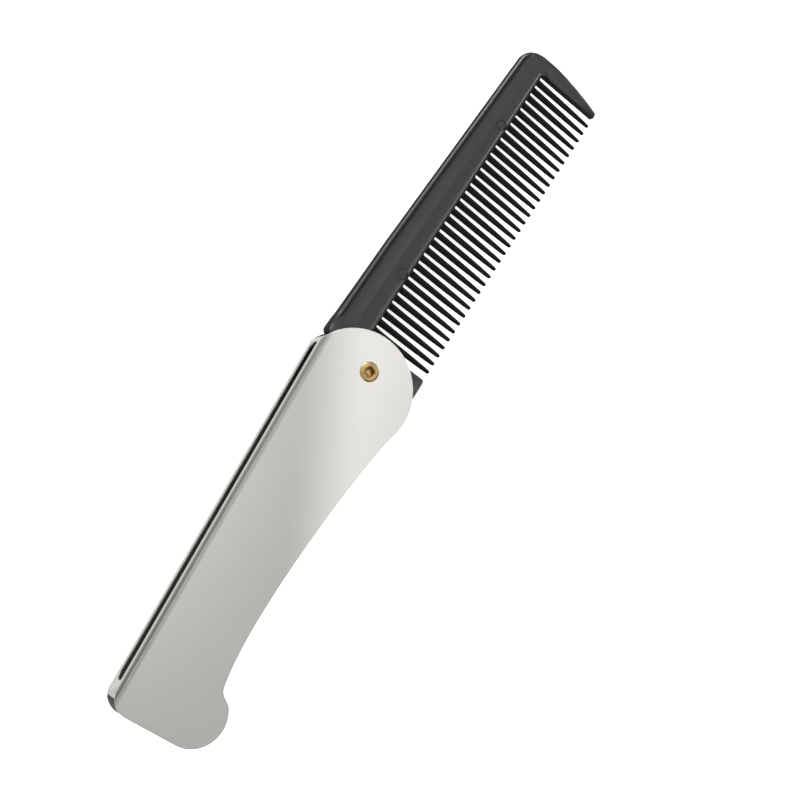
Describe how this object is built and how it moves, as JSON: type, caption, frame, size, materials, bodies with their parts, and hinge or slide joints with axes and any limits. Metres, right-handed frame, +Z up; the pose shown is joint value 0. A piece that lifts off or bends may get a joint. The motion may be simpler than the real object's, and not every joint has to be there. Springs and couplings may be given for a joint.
{
  "type": "folding comb",
  "caption": "Pocket comb with fine teeth that swings on a rivet out of a folded sheet-steel handle.",
  "frame": {"origin": "centre of the underside of the whole part's box, as it lies flat and open", "axes": "+X along the open comb towards its tip, +Y towards the spine and the handle's fold, +Z up through both leaves"},
  "size_m": [0.18, 0.0322, 0.0088],
  "materials": {
    "steel": "satin, rolled grain",
    "plastic": "black, satin moulded",
    "rivet_metal": "polished, slightly worn"
  },
  "bodies": {
    "handle": {"handle_shell": "steel", "pivot_rivet": "rivet_metal"},
    "comb": {"comb": "plastic"}
  },
  "joints": [
    {"name": "comb_fold", "type": "hinge", "parent": "handle", "child": "comb", "pos_m": [0.00066, 0.00261, 0.0044], "axis": [0, 0, -1], "range_deg": [-3.86, 175.9]}
  ]
}
